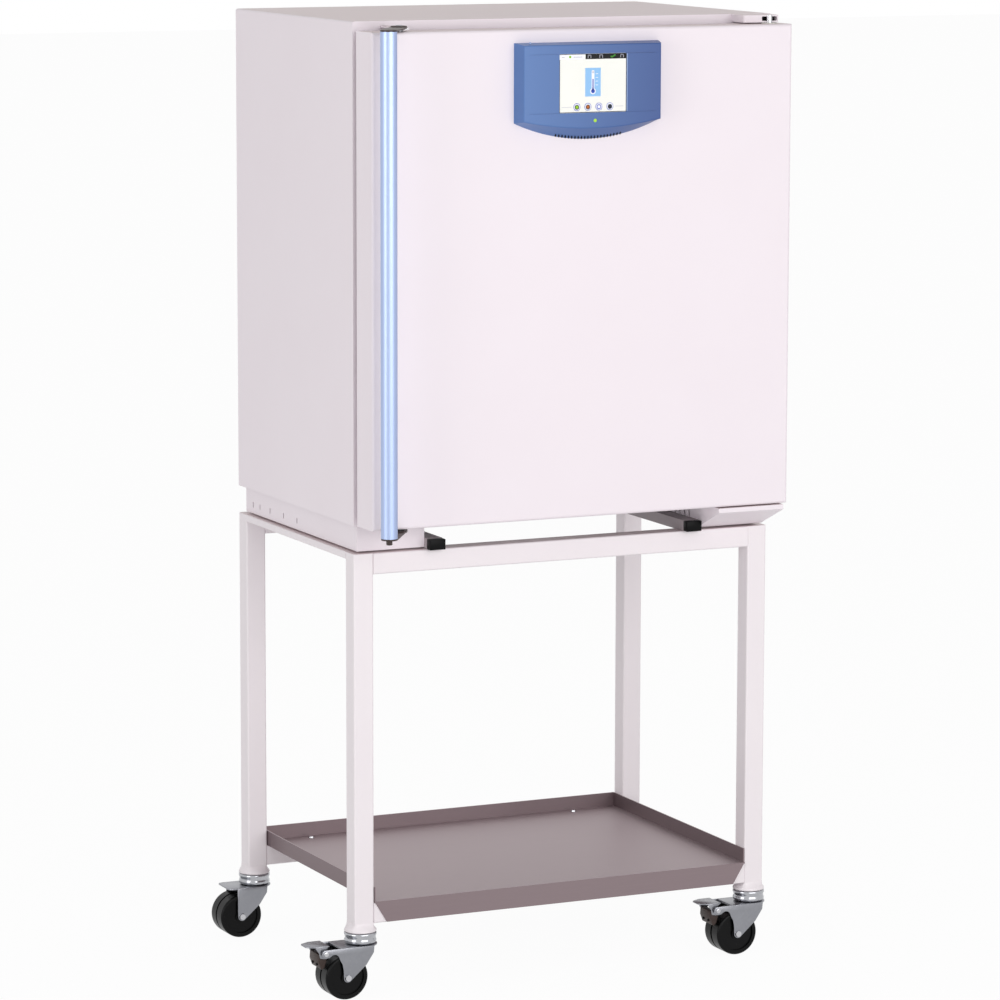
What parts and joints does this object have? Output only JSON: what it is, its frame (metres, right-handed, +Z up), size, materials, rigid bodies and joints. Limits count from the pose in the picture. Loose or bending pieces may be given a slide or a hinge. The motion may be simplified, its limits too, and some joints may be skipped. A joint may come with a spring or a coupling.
{
  "type": "laboratory incubator on a wheeled stand",
  "caption": "Floor-standing laboratory incubator: insulated cabinet with a touch-panel door and inner glass door, on a square-tube stand with a tray and casters.",
  "frame": {"origin": "on the floor, under the centre of the object's bounding box", "axes": "+Z up, +X to the viewer's right when facing the door, +Y towards the back"},
  "size_m": [0.856, 0.6535, 1.603],
  "materials": {
    "casing_paint": "powder coated, satin",
    "stand_paint": "powder coated, satin",
    "galvanised": "galvanised sheet",
    "stainless": "ground stainless steel",
    "bright_steel": "bright",
    "heater": "matt",
    "foam": "matt",
    "silicone": "translucent white",
    "seal_rubber": "matt",
    "black_plastic": "matt",
    "bush_plastic": "matt",
    "handle_metal": "brushed, pale blue anodised",
    "lever_metal": "dark",
    "panel_blue": "moulded, satin",
    "screen_glass": "gloss",
    "lens_green": "gloss",
    "pane_glass": "clear",
    "catch_plastic": "matt",
    "tray_metal": "satin",
    "zinc": "zinc plated",
    "wheel_rubber": "satin"
  },
  "bodies": {
    "cabinet_and_stand": {"bottom_plate": "galvanised", "cabinet_insulation": "foam", "caster_mounts": "zinc", "catch_keeper": "bright_steel", "chamber_gasket": "silicone", "chamber_liner": "stainless", "cross_rails": "stand_paint", "front_frame": "casing_paint", "glass_hinge_brackets": "bright_steel", "heater_jacket": "heater", "hinge_pins": "bright_steel", "latch_strikers": "bright_steel", "left_skid": "casing_paint", "lower_hinge_bracket": "casing_paint", "mains_inlet": "black_plastic", "outer_casing": "casing_paint", "power_module": "galvanised", "rear_cover": "galvanised", "right_skid": "casing_paint", "runner_caps": "black_plastic", "runner_tubes": "galvanised", "sensor_probe": "stainless", "shelf_racks": "stainless", "side_rails": "stand_paint", "stand_legs": "stand_paint", "storage_tray": "tray_metal", "tray_screws": "bright_steel", "upper_hinge_block": "casing_paint"},
    "door": {"door_shell": "casing_paint", "door_inner_panel": "casing_paint", "door_insulation": "foam", "door_seal": "seal_rubber", "hinge_bushes": "bush_plastic", "lever_screws": "bright_steel", "panel_housing": "panel_blue", "touch_screen": "screen_glass", "status_lens": "lens_green"},
    "handle": {"handle_bar": "handle_metal", "handle_plugs": "bright_steel", "handle_levers": "lever_metal"},
    "glass_door": {"glass_pane": "pane_glass", "glass_hinges": "bright_steel"},
    "glass_catch": {"glass_catch": "catch_plastic"},
    "upper_shelf": {"upper_shelf": "stainless"},
    "lower_shelf": {"lower_shelf": "stainless"},
    "brake_left": {"brake_pedal_left": "zinc"},
    "brake_right": {"brake_pedal_right": "zinc"},
    "fork_front_left": {"caster_fork_front_left": "zinc", "caster_axle_front_left": "bright_steel"},
    "wheel_front_left": {"caster_wheel_front_left": "wheel_rubber"},
    "fork_front_right": {"caster_fork_front_right": "zinc", "caster_axle_front_right": "bright_steel"},
    "wheel_front_right": {"caster_wheel_front_right": "wheel_rubber"},
    "fork_rear_left": {"caster_fork_rear_left": "zinc", "caster_axle_rear_left": "bright_steel"},
    "wheel_rear_left": {"caster_wheel_rear_left": "wheel_rubber"},
    "fork_rear_right": {"caster_fork_rear_right": "zinc", "caster_axle_rear_right": "bright_steel"},
    "wheel_rear_right": {"caster_wheel_rear_right": "wheel_rubber"}
  },
  "joints": [
    {"name": "door_hinge", "type": "hinge", "parent": "cabinet_and_stand", "child": "door", "pos_m": [0.3895, -0.23125, 1.195], "axis": [0, 0, 1], "range_deg": [0, 170]},
    {"name": "handle_pull", "type": "hinge", "parent": "door", "child": "handle", "pos_m": [-0.2822, -0.23525, 1.195], "axis": [0, 0, 1], "range_deg": [0, 25]},
    {"name": "glass_hinge", "type": "hinge", "parent": "cabinet_and_stand", "child": "glass_door", "pos_m": [0.3315, -0.18625, 1.195], "axis": [0, 0, 1], "range_deg": [0, 102.5]},
    {"name": "catch_turn", "type": "hinge", "parent": "glass_door", "child": "glass_catch", "pos_m": [-0.2345, -0.18025, 1.195], "axis": [0, 1, 0], "range_deg": [0, 90]},
    {"name": "upper_shelf_slide", "type": "slide", "parent": "cabinet_and_stand", "child": "upper_shelf", "axis": [0, -1, 0], "range_m": [0, 0.015]},
    {"name": "lower_shelf_slide", "type": "slide", "parent": "cabinet_and_stand", "child": "lower_shelf", "axis": [0, -1, 0], "range_m": [0, 0.015]},
    {"name": "swivel_front_left", "type": "hinge", "parent": "cabinet_and_stand", "child": "fork_front_left", "pos_m": [-0.325, -0.17075, 0.09], "axis": [0, 0, 1], "continuous": true},
    {"name": "roll_front_left", "type": "hinge", "parent": "fork_front_left", "child": "wheel_front_left", "pos_m": [-0.359, -0.17075, 0.0375], "axis": [0, 1, 0], "continuous": true},
    {"name": "swivel_front_right", "type": "hinge", "parent": "cabinet_and_stand", "child": "fork_front_right", "pos_m": [0.4, -0.17075, 0.09], "axis": [0, 0, 1], "continuous": true},
    {"name": "roll_front_right", "type": "hinge", "parent": "fork_front_right", "child": "wheel_front_right", "pos_m": [0.366, -0.17075, 0.0375], "axis": [0, 1, 0], "continuous": true},
    {"name": "swivel_rear_left", "type": "hinge", "parent": "cabinet_and_stand", "child": "fork_rear_left", "pos_m": [-0.325, 0.29425, 0.09], "axis": [0, 0, 1], "continuous": true},
    {"name": "roll_rear_left", "type": "hinge", "parent": "fork_rear_left", "child": "wheel_rear_left", "pos_m": [-0.359, 0.29425, 0.0375], "axis": [0, 1, 0], "continuous": true},
    {"name": "swivel_rear_right", "type": "hinge", "parent": "cabinet_and_stand", "child": "fork_rear_right", "pos_m": [0.4, 0.29425, 0.09], "axis": [0, 0, 1], "continuous": true},
    {"name": "roll_rear_right", "type": "hinge", "parent": "fork_rear_right", "child": "wheel_rear_right", "pos_m": [0.366, 0.29425, 0.0375], "axis": [0, 1, 0], "continuous": true},
    {"name": "brake_left_press", "type": "hinge", "parent": "fork_front_left", "child": "brake_left", "pos_m": [-0.398, -0.17075, 0.0815], "axis": [0, -1, 0], "range_deg": [0, 14]},
    {"name": "brake_right_press", "type": "hinge", "parent": "fork_front_right", "child": "brake_right", "pos_m": [0.327, -0.17075, 0.0815], "axis": [0, -1, 0], "range_deg": [0, 14]}
  ],
  "couplings": [
    {"joint": "glass_hinge", "follows": "door_hinge", "ratio": 0.6}
  ]
}
